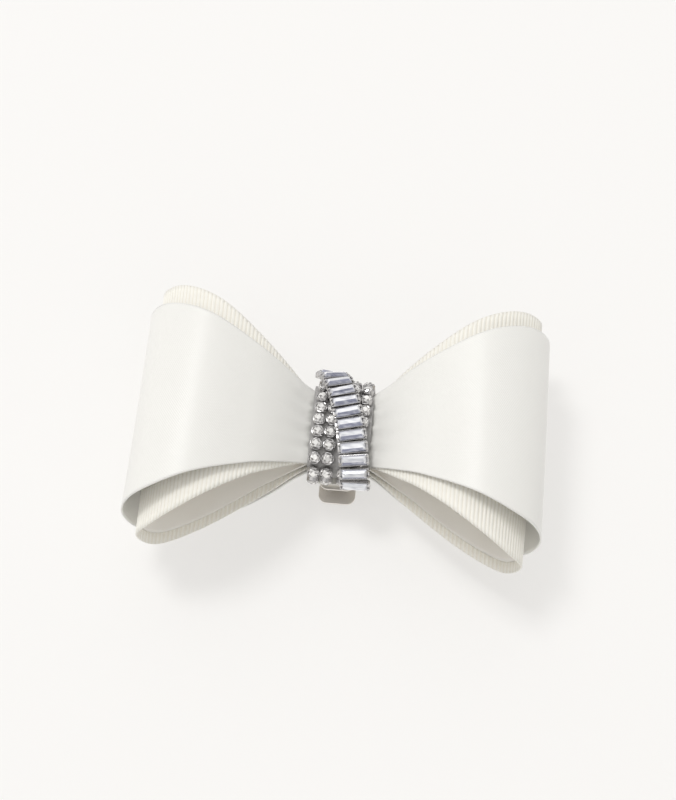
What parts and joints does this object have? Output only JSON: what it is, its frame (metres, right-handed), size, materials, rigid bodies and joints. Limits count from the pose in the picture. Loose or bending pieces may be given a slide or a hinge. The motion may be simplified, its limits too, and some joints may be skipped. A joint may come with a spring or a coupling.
{
  "type": "jewelled ribbon bow brooch",
  "caption": "Two-loop ribbon bow with a jewelled knot, on a hinged sprung clip with a lockable brooch pin.",
  "frame": {"origin": "middle of the footprint, on the surface that the back of the brooch lies on, under the knot", "axes": "+X along the bow, +Y towards the bow's upper edge as worn, +Z out of the bow's face"},
  "size_m": [0.0946, 0.063, 0.0342],
  "materials": {
    "satin": "smooth single-faced satin",
    "grosgrain": "ribbed grosgrain",
    "lining": "plain smooth ribbon",
    "thread": "twisted polyester",
    "band_cloth": "plain ribbon",
    "silver_setting": "bright silver plate",
    "clear_stone": "cut and polished",
    "lilac_stone": "cut and polished",
    "felt": "pressed felt",
    "clip_steel": "brushed",
    "bright_steel": "nickel plated",
    "spring_wire": "drawn wire"
  },
  "bodies": {
    "bow": {"satin_ribbon": "satin", "grosgrain_ribbon": "grosgrain", "lining_ribbon": "lining", "binding_thread": "thread", "centre_band": "band_cloth", "left_round_cups": "silver_setting", "left_round_stones": "clear_stone", "right_round_cups": "silver_setting", "right_round_stones": "clear_stone", "baguette_cups": "silver_setting", "baguette_stones": "lilac_stone", "felt_pad": "felt", "clip_plate": "clip_steel", "clip_hinge_pin": "bright_steel", "clip_spring": "spring_wire"},
    "lever": {"clip_lever": "clip_steel", "pin_bar": "bright_steel", "pin_rivet": "bright_steel"},
    "stem": {"pin_stem": "spring_wire"},
    "roller": {"safety_roller": "bright_steel"}
  },
  "joints": [
    {"name": "clip_hinge", "type": "hinge", "parent": "bow", "child": "lever", "pos_m": [0, -0.0045, 0.0067], "axis": [-1, 0, 0], "range_deg": [0, 20], "stiffness_Nm_per_rad": 0.02, "springref_deg": -34.38, "deforming": ["clip_spring"]},
    {"name": "stem_hinge", "type": "hinge", "parent": "lever", "child": "stem", "pos_m": [0, -0.0054, 0.002], "axis": [-1, 0, 0], "range_deg": [0, 75]},
    {"name": "roller_turn", "type": "hinge", "parent": "lever", "child": "roller", "pos_m": [0, 0.012, 0.002], "axis": [0, 1, 0], "range_deg": [0, 90]}
  ]
}
